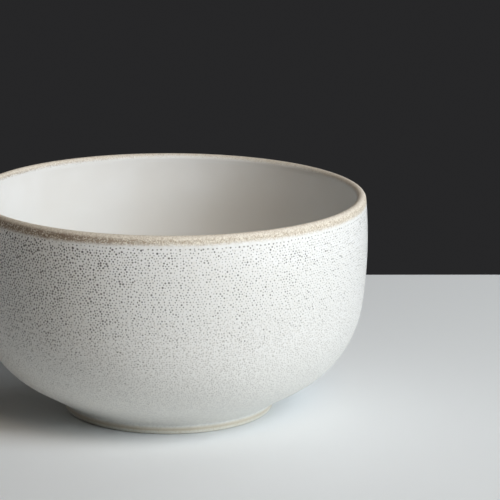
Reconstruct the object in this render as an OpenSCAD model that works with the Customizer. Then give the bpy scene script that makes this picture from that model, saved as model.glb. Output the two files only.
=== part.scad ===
// Stoneware soup bowl: a clay body on a low foot ring, with a speckled white glaze outside,
// a smooth liner glaze inside, a sandy glaze over the lip and a glaze under the base.
// Millimetres, +Z up, origin on the table at the middle of the foot.

/* [Bowl] */
// Widest outside diameter
bowl_d = 150; // [130:1:180]
// Height from the table to the top of the lip
bowl_h = 83; // [76:0.5:96]
// Drop from the top of the lip to where the wall is widest
widest_drop = 18.5; // [12:0.5:26]
// Radius of the wall's slight outward bow, seen in section
wall_bow_r = 176; // [140:1:240]
// Outside radius where the wall turns under
belly_r = 40.5; // [34:0.5:46]
// Slope of the underside between the foot and the belly, in degrees
under_slope = 30.5; // [26:0.5:36]

/* [Wall] */
// Thickness of the wall with its glaze
wall_t = 3.7; // [3:0.1:5]
// Thickness of the wall where it slopes in to the foot, with its glaze
under_t = 4.5; // [3.5:0.1:6]
// Thickness of the floor above the foot ring, with its inside glaze
floor_t = 5.5; // [4.5:0.1:7.5]

/* [Foot ring] */
// Outside diameter of the foot with its glaze
foot_d = 80; // [70:1:90]
// Height of the foot ring
foot_h = 3.5; // [2.8:0.1:6]
// Width of the foot ring with its outside glaze
foot_w = 5; // [3.5:0.1:9]
// Rounding of the foot ring's bottom edges
foot_round = 0.8; // [0.3:0.1:1.2]

/* [Glaze] */
// Thickness of every coat of glaze
glaze_t = 0.4; // [0.2:0.05:0.7]
// How far the sandy glaze runs down the wall below the rounding of the lip
rim_skirt = 1.2; // [0.3:0.1:4]
// How far the glaze runs down the foot ring, which is bare below it
foot_glaze = 1.5; // [1.2:0.1:2]
// Radius of the glaze that pools in the corner above the foot ring
foot_fillet = 1.2; // [0.4:0.1:1.8]

/* [Hidden] */
$fn = 180;
arc_steps = 16;

// Unit vector at an angle in the section plane
function unit(angle) = [cos(angle), sin(angle)];

// Angle of the line from one point to another
function bearing(start, end) = atan2(end.y - start.y, end.x - start.x);

// Distance from a point along a direction to the far side of a circle
function run_to_circle(start, direction, centre, radius) =
    let (offset = start - centre, along = offset * direction)
    sqrt(along ^ 2 - offset * offset + radius ^ 2) - along;

// Points of an arc, both ends included
function arc(centre, radius, start, end) =
    [for (i = [0:arc_steps]) centre + radius * unit(start + (end - start) * i / arc_steps)];

// Lines that follow each other as one, with each shared end point kept once
function chain(lines) =
    [for (i = [0:len(lines) - 1]) for (j = [min(i, 1):len(lines[i]) - 1]) lines[i][j]];

// The same line from its other end
function reversed(line) = [for (i = [len(line) - 1:-1:0]) line[i]];

// Outside of the wall: one arc, widest at the height of its centre
wall_c = [bowl_d / 2 - wall_bow_r, bowl_h - widest_drop];

// The underside slopes up from the foot, and both bellies have their centres this far inside it
foot_r = foot_d / 2;
under_normal = under_slope - 90;
centre_line = [foot_r, foot_h] - belly_r * unit(under_normal);

// Centre of a belly that is tangent to the underside's slope and to a wall around wall_c
function belly_centre(apart) =
    centre_line + run_to_circle(centre_line, unit(under_slope), wall_c, apart) * unit(under_slope);

// Outside of the belly
belly_c = belly_centre(wall_bow_r - belly_r);
belly_turn = bearing(wall_c, belly_c);

// Inside of the wall and the belly
inner_wall_r = wall_bow_r - wall_t;
inner_belly_r = belly_r - under_t;
inner_belly_c = belly_centre(inner_wall_r - inner_belly_r);
inner_turn = bearing(wall_c, inner_belly_c);

// Inside of the floor: flat, then an arc that rises to meet the belly
floor_z = foot_h + floor_t;
floor_end = inner_belly_c + inner_belly_r * unit(under_normal);
floor_arc_r = (floor_end.y - floor_z) / (1 - cos(under_slope));
floor_arc_c = floor_end - floor_arc_r * unit(under_normal);

// Lip: a half-round as wide as the wall
lip_r = wall_t / 2;
lip_angle = asin((bowl_h - lip_r - wall_c.y) / (wall_bow_r - lip_r));
lip_c = wall_c + (wall_bow_r - lip_r) * unit(lip_angle);

// Foot: its clay inside the coats, the height where they end, and the pooled corner above it
foot_clay_r = foot_r - glaze_t;
foot_inner_r = foot_r - foot_w;
bare_h = foot_h - foot_glaze;
fillet_z = foot_h + foot_fillet * (1 - cos(under_normal)) / sin(under_normal);
fillet_c = [foot_r + foot_fillet, fillet_z];

// Height where the sandy glaze ends, and the angle there on an arc around the wall's centre
rim_z = lip_c.y - lip_r * sin(lip_angle) - rim_skirt;
function rim_angle(radius) = asin((rim_z - wall_c.y) / radius);

// Corner of the clay or glaze where the underside meets the top of the foot
function under_corner(depth) = [[foot_r - depth / sin(under_slope), foot_h]];

// Outside from the belly up to the sandy glaze, moved in by a depth
function outer_line(depth) =
    let (radius = wall_bow_r - depth)
    chain([
        arc(belly_c, belly_r - depth, under_normal, belly_turn),
        arc(wall_c, radius, belly_turn, rim_angle(radius))
    ]);

// From the sandy glaze's outside edge over the lip to its inside edge, moved in by a depth
function lip_line(depth) =
    let (outer = wall_bow_r - depth, inner = inner_wall_r + depth)
    chain([
        arc(wall_c, outer, rim_angle(outer), lip_angle),
        arc(lip_c, lip_r - depth, lip_angle, lip_angle + 180),
        arc(wall_c, inner, lip_angle, rim_angle(inner))
    ]);

// Inside from the sandy glaze down to the flat of the floor, moved into the clay by a depth
function inner_line(depth) =
    let (radius = inner_wall_r + depth)
    chain([
        arc(wall_c, radius, rim_angle(radius), inner_turn),
        arc(inner_belly_c, inner_belly_r + depth, inner_turn, under_normal),
        arc(floor_arc_c, floor_arc_r + depth, under_normal, -90)
    ]);

// Round solid from the outline of its section
module turned(outline) {
    rotate_extrude() polygon(outline);
}

// Fired clay of the wall and floor
module clay_body() {
    surface_line = chain([outer_line(glaze_t), lip_line(glaze_t), inner_line(glaze_t)]);
    middle = [[0, floor_z - glaze_t], [0, foot_h]];
    color("#c9bda4") turned(concat(under_corner(glaze_t), surface_line, middle));
}

// Bare clay ring that the bowl stands on
module foot_ring() {
    inner_edge = arc([foot_inner_r + foot_round, foot_round], foot_round, 180, 270);
    outer_edge = arc([foot_clay_r - foot_round, foot_round], foot_round, 270, 360);
    color("#d8d2c0")
        turned(concat([[foot_inner_r, foot_h]], inner_edge, outer_edge, [[foot_clay_r, foot_h]]));
}

// Speckled white glaze from the sandy glaze down to the upper part of the foot
module outer_glaze() {
    foot_end = [[foot_clay_r, foot_h], [foot_clay_r, bare_h], [foot_r, bare_h]];
    pooled_corner = arc(fillet_c, foot_fillet, 180, 180 + under_normal);
    inside_line = concat(reversed(outer_line(glaze_t)), under_corner(glaze_t));
    color("#deddd6") turned(concat(outer_line(0), inside_line, foot_end, pooled_corner));
}

// Smooth liner glaze of the inside
module inner_glaze() {
    middle = [[0, floor_z], [0, floor_z - glaze_t]];
    color("#dcd9d2") turned(concat(inner_line(0), middle, reversed(inner_line(glaze_t))));
}

// Sandy glaze over the lip
module rim_glaze() {
    color("#b49b78") turned(concat(lip_line(0), reversed(lip_line(glaze_t))));
}

// Glaze under the base and a little way down the inside of the foot ring
module base_glaze() {
    base_z = foot_h - glaze_t;
    skirt_r = foot_inner_r - glaze_t;
    underside = [[0, base_z], [skirt_r, base_z], [skirt_r, bare_h]];
    seat = [[foot_inner_r, bare_h], [foot_inner_r, foot_h], [0, foot_h]];
    color("#d6d4cc") turned(concat(underside, seat));
}

clay_body();
foot_ring();
outer_glaze();
inner_glaze();
rim_glaze();
base_glaze();
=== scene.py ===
"""Looks of a stoneware soup bowl: turned coats of glaze, bare clay and iron specks, in a plain studio.

Metres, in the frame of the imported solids: +Z up, origin on the table at the middle of the foot.
"""

import logging
import math
from dataclasses import dataclass, field
from enum import Enum
from typing import Any

import bpy
from mathutils import Matrix, Vector

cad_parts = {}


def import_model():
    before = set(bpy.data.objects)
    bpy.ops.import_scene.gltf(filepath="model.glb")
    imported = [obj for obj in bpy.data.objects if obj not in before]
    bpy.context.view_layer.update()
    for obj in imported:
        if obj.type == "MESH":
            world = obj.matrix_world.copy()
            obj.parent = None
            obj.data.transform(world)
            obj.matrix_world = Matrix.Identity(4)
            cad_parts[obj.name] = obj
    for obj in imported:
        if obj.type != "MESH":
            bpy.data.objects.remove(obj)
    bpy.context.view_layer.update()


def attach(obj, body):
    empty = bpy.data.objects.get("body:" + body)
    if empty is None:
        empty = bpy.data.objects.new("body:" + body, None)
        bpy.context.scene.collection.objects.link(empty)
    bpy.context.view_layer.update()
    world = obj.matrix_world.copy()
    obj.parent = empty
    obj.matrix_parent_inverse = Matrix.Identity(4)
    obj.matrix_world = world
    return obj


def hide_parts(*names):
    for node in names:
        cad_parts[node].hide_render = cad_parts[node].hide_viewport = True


LOG = logging.getLogger("soup_bowl")
MM = 0.001
BODY = "root"

# Attributes of the meshes: the bake map, how far along its section a point lies, and what each speck holds
BAKE_MAP = "OFBake"
ALONG = "along"
SPECK = "speck"
SIZE = "size"
TONE = "tone"

# Room in the bake map for each metre of a step that other pieces cover, where a step that is seen has 1
COVERED_SHARE = 0.05

Node = bpy.types.Node
Socket = bpy.types.NodeSocket
Material = bpy.types.Material
Thing = bpy.types.Object
Colour = tuple[float, float, float, float]
# Where a smooth ramp starts and ends, then its result at each
Ramp = tuple[float, float, float, float]


class Slot(Enum):
    """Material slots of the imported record."""

    CLAY = "clay"
    SPECKLED = "speckled_glaze"
    LINER = "liner_glaze"
    SANDY = "sandy_glaze"


class Draw(Enum):
    """Uses of random numbers, each with a number that is added to the seed."""

    SPIN = 11
    WIDTH = 12
    DEPTH = 13
    TONE = 14
    SIZE = 21
    ROW_X = 31
    ROW_Y = 32
    ROW_Z = 33
    ROW_SIZE = 34


def unit(angle: float) -> Vector:
    """Unit vector at an angle in the section plane."""
    return Vector((math.cos(angle), math.sin(angle)))


def arc(centre: Vector, radius: float, start: float, end: float, steps: int) -> list[Vector]:
    """Points of an arc, both ends included.

    Args:
        centre: Centre of the arc, as radius and height.
        radius: Radius of the arc.
        start: Angle of the first point, in radians.
        end: Angle of the last point, in radians.
        steps: Number of straight steps.

    Returns:
        The points in order, as radius and height.
    """
    return [centre + radius * unit(start + (end - start) * i / steps) for i in range(steps + 1)]


def straight(start: Vector, end: Vector, steps: int) -> list[Vector]:
    """Points of a straight line in even steps, both ends included."""
    return [start.lerp(end, i / steps) for i in range(steps + 1)]


@dataclass(frozen=True)
class Steps:
    """Numbers of steps in the parts of a section."""

    wall: int
    lip: int
    inside: int
    skirt: int = 4
    flat: int = 6
    edge: int = 8
    pool: int = 10


# Short steps for lines that are seen, longer ones for lines that other pieces cover
SEEN = Steps(wall=44, lip=28, inside=36)
COVERED = Steps(wall=16, lip=12, inside=14)


@dataclass(frozen=True)
class Section:
    """Sizes of the bowl's section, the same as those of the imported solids.

    The drawn surfaces lie a skin's depth inside the solids, whose round faces are made of flats.
    """

    bowl_r: float = 75 * MM
    bowl_h: float = 83 * MM
    widest_drop: float = 18.5 * MM
    wall_bow_r: float = 176 * MM
    belly_r: float = 40.5 * MM
    under_slope: float = math.radians(30.5)
    wall_t: float = 3.7 * MM
    under_t: float = 4.5 * MM
    floor_t: float = 5.5 * MM
    foot_r: float = 40 * MM
    foot_h: float = 3.5 * MM
    foot_w: float = 5 * MM
    foot_round: float = 0.8 * MM
    glaze_t: float = 0.4 * MM
    rim_skirt: float = 1.2 * MM
    foot_glaze: float = 1.5 * MM
    foot_fillet: float = 1.2 * MM
    skin: float = 0.06 * MM

    @property
    def wall_c(self) -> Vector:
        """Centre of the wall's bow."""
        return Vector((self.bowl_r - self.wall_bow_r, self.bowl_h - self.widest_drop))

    @property
    def under_normal(self) -> float:
        """Angle at which the underside faces."""
        return self.under_slope - math.pi / 2

    def belly_centre(self, apart: float) -> Vector:
        """Centre of a belly that is tangent to the underside and to a wall around wall_c.

        Args:
            apart: Distance between the centres of the wall and the belly.

        Returns:
            The belly's centre.
        """
        start = Vector((self.foot_r, self.foot_h)) - self.belly_r * unit(self.under_normal)
        offset = start - self.wall_c
        along = offset.dot(unit(self.under_slope))
        run = math.sqrt(along**2 - offset.length_squared + apart**2) - along
        return start + run * unit(self.under_slope)

    def turn_to(self, centre: Vector) -> float:
        """Angle on the wall's bow at which a belly with this centre takes over."""
        step = centre - self.wall_c
        return math.atan2(step.y, step.x)

    @property
    def belly_c(self) -> Vector:
        """Centre of the outside belly."""
        return self.belly_centre(self.wall_bow_r - self.belly_r)

    @property
    def inner_wall_r(self) -> float:
        """Radius of the inside of the wall."""
        return self.wall_bow_r - self.wall_t

    @property
    def inner_belly_r(self) -> float:
        """Radius of the inside belly."""
        return self.belly_r - self.under_t

    @property
    def inner_belly_c(self) -> Vector:
        """Centre of the inside belly."""
        return self.belly_centre(self.inner_wall_r - self.inner_belly_r)

    @property
    def floor_z(self) -> float:
        """Height of the inside floor."""
        return self.foot_h + self.floor_t

    @property
    def floor_arc(self) -> tuple[Vector, float]:
        """Arc that rises from the floor to the inside belly.

        Returns:
            The arc's centre and radius.
        """
        end = self.inner_belly_c + self.inner_belly_r * unit(self.under_normal)
        radius = (end.y - self.floor_z) / (1 - math.cos(self.under_slope))
        return end - radius * unit(self.under_normal), radius

    @property
    def lip_r(self) -> float:
        """Radius of the half-round lip."""
        return self.wall_t / 2

    @property
    def lip_angle(self) -> float:
        """Angle on the wall's bow at which the lip starts."""
        return math.asin((self.widest_drop - self.lip_r) / (self.wall_bow_r - self.lip_r))

    @property
    def lip_c(self) -> Vector:
        """Centre of the lip's rounding."""
        return self.wall_c + (self.wall_bow_r - self.lip_r) * unit(self.lip_angle)

    @property
    def rim_z(self) -> float:
        """Height at which the sandy glaze ends."""
        return self.lip_c.y - self.lip_r * math.sin(self.lip_angle) - self.rim_skirt

    def rim_angle(self, radius: float) -> float:
        """Angle at which the sandy glaze ends on an arc around wall_c."""
        return math.asin((self.rim_z - self.wall_c.y) / radius)

    @property
    def bare_h(self) -> float:
        """Height of the foot below which the clay is bare."""
        return self.foot_h - self.foot_glaze

    @property
    def foot_inner_r(self) -> float:
        """Inside radius of the foot ring."""
        return self.foot_r - self.foot_w

    @property
    def fillet_c(self) -> Vector:
        """Centre of the pooled corner above the foot."""
        rise = (1 - math.cos(self.under_normal)) / math.sin(self.under_normal)
        return Vector((self.foot_r + self.foot_fillet, self.foot_h + self.foot_fillet * rise))

    def outer_line(self, depth: float, steps: Steps = SEEN) -> list[Vector]:
        """Outside from the belly up to the sandy glaze.

        Args:
            depth: How far the line lies inside the outside surface.
            steps: Numbers of steps in the line.

        Returns:
            Points from the bottom up.
        """
        turn = self.turn_to(self.belly_c)
        radius = self.wall_bow_r - depth
        belly = arc(self.belly_c, self.belly_r - depth, self.under_normal, turn, steps.wall)
        return belly + arc(self.wall_c, radius, turn, self.rim_angle(radius), steps.wall)[1:]

    def lip_line(self, depth: float, steps: Steps = SEEN) -> list[Vector]:
        """From the sandy glaze's outside edge over the lip to its inside edge.

        Args:
            depth: How far the line lies inside the surface.
            steps: Numbers of steps in the line.

        Returns:
            Points from the outside to the inside.
        """
        outer = self.wall_bow_r - depth
        inner = self.inner_wall_r + depth
        start = self.lip_angle
        outside = arc(self.wall_c, outer, self.rim_angle(outer), start, steps.skirt)
        over = arc(self.lip_c, self.lip_r - depth, start, start + math.pi, steps.lip)
        inside = arc(self.wall_c, inner, start, self.rim_angle(inner), steps.skirt)
        return outside + over[1:] + inside[1:]

    def inner_line(self, depth: float, steps: Steps = SEEN) -> list[Vector]:
        """Inside from the sandy glaze down to the middle of the floor.

        Args:
            depth: How far the line lies in the clay.
            steps: Numbers of steps in the line.

        Returns:
            Points from the top down, the last one on the axis.
        """
        radius = self.inner_wall_r + depth
        turn = self.turn_to(self.inner_belly_c)
        floor_c, floor_r = self.floor_arc
        wall = arc(self.wall_c, radius, self.rim_angle(radius), turn, steps.inside)
        belly = arc(self.inner_belly_c, self.inner_belly_r + depth, turn, self.under_normal, steps.inside)
        rise = arc(floor_c, floor_r + depth, self.under_normal, -math.pi / 2, steps.inside // 2)
        flat = straight(rise[-1], Vector((0, self.floor_z - depth)), steps.flat)
        return wall + belly[1:] + rise[1:] + flat[1:]


@dataclass
class Outline:
    """Line round one section, whose steps each take their own share of the bake map."""

    points: list[Vector] = field(default_factory=list)
    shares: list[float] = field(default_factory=list)

    def run(self, points: list[Vector], share: float = 1.0) -> "Outline":
        """Adds points to the line.

        Args:
            points: The next points in order.
            share: Room in the bake map for each metre of the steps that lead to them.

        Returns:
            The outline itself, so that calls can follow each other.
        """
        self.points += points
        self.shares += [share] * len(points)
        return self

    def closed(self) -> "Outline":
        """Adds a last covered step back to the first point."""
        return self.run(self.points[:1], COVERED_SHARE)

    def mesh(self, name: str) -> bpy.types.Mesh:
        """Makes the line a mesh of edges that holds how far along each point lies.

        Args:
            name: Name of the mesh.

        Returns:
            The mesh, in the plane of X and Z.
        """
        mesh = bpy.data.meshes.new(name)
        edges = [(i, i + 1) for i in range(len(self.points) - 1)]
        mesh.from_pydata([(p.x, 0, p.y) for p in self.points], edges, [])
        run = [0.0]
        for before, after, share in zip(self.points, self.points[1:], self.shares[1:]):
            run.append(run[-1] + (after - before).length * share)
        along = mesh.attributes.new(ALONG, "FLOAT", "POINT")
        along.data.foreach_set("value", [r / run[-1] for r in run])
        return mesh


class Nodes:
    """Adds nodes to one tree and wires them."""

    def __init__(self, tree: bpy.types.NodeTree) -> None:
        """Keeps the tree that the nodes go into."""
        self.tree = tree

    def feed(self, socket: Socket, value: Any) -> None:
        """Gives a socket its value.

        Args:
            socket: Input to set.
            value: An output to link, a node whose first output is linked, or a constant.
        """
        if isinstance(value, Node):
            value = value.outputs[0]
        if isinstance(value, Socket):
            self.tree.links.new(value, socket)
        else:
            socket.default_value = value

    def add(self, kind: str, inputs: dict[Any, Any] | None = None, **settings: Any) -> Node:
        """Adds one node.

        Args:
            kind: Type of the node.
            inputs: Value for each input, by the input's name or number.
            settings: The node's own options, which are set before its inputs.

        Returns:
            The new node.
        """
        node = self.tree.nodes.new(kind)
        for name, value in settings.items():
            setattr(node, name, value)
        for key, value in (inputs or {}).items():
            self.feed(node.inputs[key], value)
        return node

    def math(self, operation: str, *values: Any) -> Socket:
        """Result of a sum on one to three values."""
        return self.add("ShaderNodeMath", dict(enumerate(values)), operation=operation).outputs[0]

    def ramp(self, value: Any, low: Any, high: Any, start: Any = 0.0, end: Any = 1.0) -> Socket:
        """Maps a value smoothly from one range to another.

        Args:
            value: Value to map.
            low: Where the range starts.
            high: Where the range ends.
            start: Result at and below the start.
            end: Result at and above the end.

        Returns:
            The mapped value.
        """
        inputs = {0: value, 1: low, 2: high, 3: start, 4: end}
        return self.add("ShaderNodeMapRange", inputs, interpolation_type="SMOOTHSTEP").outputs[0]

    def blend(self, share: Any, first: Any, second: Any) -> Socket:
        """Mixes two colours by the share of the second."""
        inputs = {0: share, 6: first, 7: second}
        return self.add("ShaderNodeMix", inputs, data_type="RGBA").outputs[2]

    def parts(self, vector: Any) -> tuple[Socket, ...]:
        """Splits a vector into X, Y and Z."""
        return tuple(self.add("ShaderNodeSeparateXYZ", {0: vector}).outputs)

    def vector(self, x: Any = 0.0, y: Any = 0.0, z: Any = 0.0) -> Socket:
        """Joins X, Y and Z into a vector."""
        return self.add("ShaderNodeCombineXYZ", {0: x, 1: y, 2: z}).outputs[0]

    def length(self, x: Any, y: Any) -> Socket:
        """Distance of X and Y from the middle."""
        return self.add("ShaderNodeVectorMath", {0: self.vector(x, y)}, operation="LENGTH").outputs["Value"]

    def height(self) -> Socket:
        """Height of each shaded point above the table."""
        return self.parts(self.add("ShaderNodeTexCoord").outputs["Object"])[2]

    def read(self, name: str, data_type: str = "FLOAT") -> Node:
        """Reads an attribute of a mesh."""
        return self.add("GeometryNodeInputNamedAttribute", {"Name": name}, data_type=data_type)

    def store(self, geometry: Any, name: str, value: Any, data_type: str, domain: str = "POINT") -> Node:
        """Stores a value on a mesh as an attribute."""
        inputs = {"Geometry": geometry, "Name": name, "Value": value}
        return self.add("GeometryNodeStoreNamedAttribute", inputs, data_type=data_type, domain=domain)


def blank(owner: bpy.types.ID) -> Nodes:
    """Gives a material or a world an empty node tree.

    Args:
        owner: The material or world.

    Returns:
        What adds nodes to the tree.
    """
    owner.use_nodes = True
    owner.node_tree.nodes.clear()
    return Nodes(owner.node_tree)


def place(name: str, data: bpy.types.ID) -> Thing:
    """Puts a new object in the scene.

    Args:
        name: Name of the object.
        data: Its mesh, light or camera.

    Returns:
        The object, at the origin.
    """
    thing = bpy.data.objects.new(name, data)
    bpy.context.scene.collection.objects.link(thing)
    return thing


class GeometryTree:
    """A geometry node tree with named inputs, which turns a starting mesh into a finished one."""

    def __init__(self, name: str, inputs: dict[str, tuple[str, ...]]) -> None:
        """Makes the tree and its sockets.

        Args:
            name: Name of the tree.
            inputs: Names of the inputs after the geometry, by type.
        """
        self.tree = bpy.data.node_groups.new(name, "GeometryNodeTree")
        self.nodes = Nodes(self.tree)
        sides = self.tree.interface
        sides.new_socket("Geometry", in_out="INPUT", socket_type="NodeSocketGeometry")
        sides.new_socket("Geometry", in_out="OUTPUT", socket_type="NodeSocketGeometry")
        sides.new_socket("Finish", in_out="INPUT", socket_type="NodeSocketMaterial")
        for kind, labels in inputs.items():
            for label in labels:
                sides.new_socket(label, in_out="INPUT", socket_type=f"NodeSocket{kind}")
        self.given = self.nodes.add("NodeGroupInput").outputs
        self.build()

    def build(self) -> None:
        """Adds the nodes, which each tree does in its own way."""
        raise NotImplementedError

    def end(self, geometry: Any) -> None:
        """Realizes the geometry, gives it its finish and puts it out.

        Args:
            geometry: What the tree has made.
        """
        real = self.nodes.add("GeometryNodeRealizeInstances", {0: geometry})
        inputs = {"Geometry": real, "Material": self.given["Finish"]}
        dressed = self.nodes.add("GeometryNodeSetMaterial", inputs)
        self.nodes.add("NodeGroupOutput", {0: dressed})

    def apply(self, thing: Thing, values: dict[str, Any]) -> None:
        """Runs the tree on an object and keeps the result as a plain mesh.

        Args:
            thing: Object whose mesh the tree starts from.
            values: Value of each input, by name.
        """
        modifier = thing.modifiers.new(self.tree.name, "NODES")
        modifier.node_group = self.tree
        sockets = {s.name: s.identifier for s in self.tree.interface.items_tree if s.in_out == "INPUT"}
        for label, value in values.items():
            modifier[sockets[label]] = value
        graph = bpy.context.evaluated_depsgraph_get()
        made = bpy.data.meshes.new_from_object(
            thing.evaluated_get(graph), preserve_all_data_layers=True, depsgraph=graph
        )
        thing.modifiers.remove(modifier)
        thing.data = made


class TurnedShell(GeometryTree):
    """Turns a section about the Z axis, with the slight waver of a hand-thrown pot."""

    WAVER_SCALE = 22.0
    WAVER_DETAIL = 1.0
    MERGE_DISTANCE = 1e-6
    MARGIN_ACROSS = 0.005
    MARGIN_UP = 0.02

    def __init__(self) -> None:
        """Names the tree's inputs."""
        counts = ("Section Points", "Segments", "Bake Strips")
        super().__init__("Turned shell", {"Int": counts, "Float": ("Waver", "Sharp Angle")})

    def build(self) -> None:
        """Bends a grid round the axis, with one column for each point of the section."""
        n, given = self.nodes, self.given
        rows = n.math("ADD", given["Segments"], 1)
        grid = n.add("GeometryNodeMeshGrid", {"Vertices X": given["Section Points"], "Vertices Y": rows})
        index = n.add("GeometryNodeInputIndex")
        column = n.math("FLOOR", n.math("DIVIDE", n.math("ADD", index, 0.5), rows))
        row = n.math("SUBTRACT", index, n.math("MULTIPLY", column, rows))
        turn = n.math("DIVIDE", row, given["Segments"])
        spot = self.sample(column, n.add("GeometryNodeInputPosition"), "FLOAT_VECTOR")
        along = self.sample(column, n.read(ALONG), "FLOAT")
        kept = n.add("GeometryNodeCaptureAttribute", {0: grid}, domain="POINT")
        for label, value in (("Turn", turn), ("Along", along)):
            kept.capture_items.new("FLOAT", label)
            n.feed(kept.inputs[label], value)
        radius, _, height = n.parts(spot)
        angle = n.math("MULTIPLY", turn, -2 * math.pi)
        east, north = n.math("COSINE", angle), n.math("SINE", angle)
        ideal = n.vector(n.math("MULTIPLY", radius, east), n.math("MULTIPLY", radius, north), height)
        inputs = {"Vector": ideal, "Scale": self.WAVER_SCALE, "Detail": self.WAVER_DETAIL}
        unevenness = n.add("ShaderNodeTexNoise", inputs)
        dip = n.math("MULTIPLY", n.math("MULTIPLY", unevenness, given["Waver"]), radius)
        wavered = n.math("SUBTRACT", radius, dip)
        final = n.vector(n.math("MULTIPLY", wavered, east), n.math("MULTIPLY", wavered, north), height)
        bent = n.add("GeometryNodeSetPosition", {"Geometry": kept, "Position": final})
        mapped = self.bake_map(bent, kept.outputs["Turn"], kept.outputs["Along"])
        inputs = {"Geometry": mapped, "Distance": self.MERGE_DISTANCE}
        joined = n.add("GeometryNodeMergeByDistance", inputs)
        smooth = n.add("GeometryNodeSetShadeSmooth", {"Geometry": joined}, domain="FACE")
        fold = n.add("GeometryNodeInputMeshEdgeAngle")
        sharp = n.add("FunctionNodeCompare", {0: fold, 1: given["Sharp Angle"]}, operation="GREATER_THAN")
        edged = {"Geometry": smooth, "Selection": sharp, "Shade Smooth": False}
        self.end(n.add("GeometryNodeSetShadeSmooth", edged, domain="EDGE"))

    def sample(self, column: Any, value: Any, data_type: str) -> Node:
        """Reads a value at the point of the section that belongs to each column."""
        inputs = {"Geometry": self.given[0], "Index": column, "Value": value}
        return self.nodes.add("GeometryNodeSampleIndex", inputs, data_type=data_type)

    def inset(self, share: Any, margin: float) -> Socket:
        """Draws a share from 0 to 1 in by a margin at both ends."""
        return self.nodes.math("MULTIPLY_ADD", share, 1 - 2 * margin, margin)

    def bake_map(self, geometry: Any, turn: Any, along: Any) -> Node:
        """Lays the surface out in strips, each a share of the turn, one above the other.

        Args:
            geometry: The bent grid.
            turn: How far round each point lies, from 0 to 1.
            along: How far along the section each point lies, from 0 to 1.

        Returns:
            The node that stores the map.
        """
        n, strips = self.nodes, self.given["Bake Strips"]
        middle = n.add("GeometryNodeFieldOnDomain", {0: turn}, domain="FACE", data_type="FLOAT")
        strip = n.math("FLOOR", n.math("MULTIPLY", middle, strips))
        across = n.math("SUBTRACT", n.math("MULTIPLY", turn, strips), strip)
        up = n.math("DIVIDE", n.math("ADD", strip, self.inset(along, self.MARGIN_UP)), strips)
        spread = n.vector(self.inset(across, self.MARGIN_ACROSS), up)
        return n.store(geometry, BAKE_MAP, spread, "FLOAT2", "CORNER")


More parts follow.
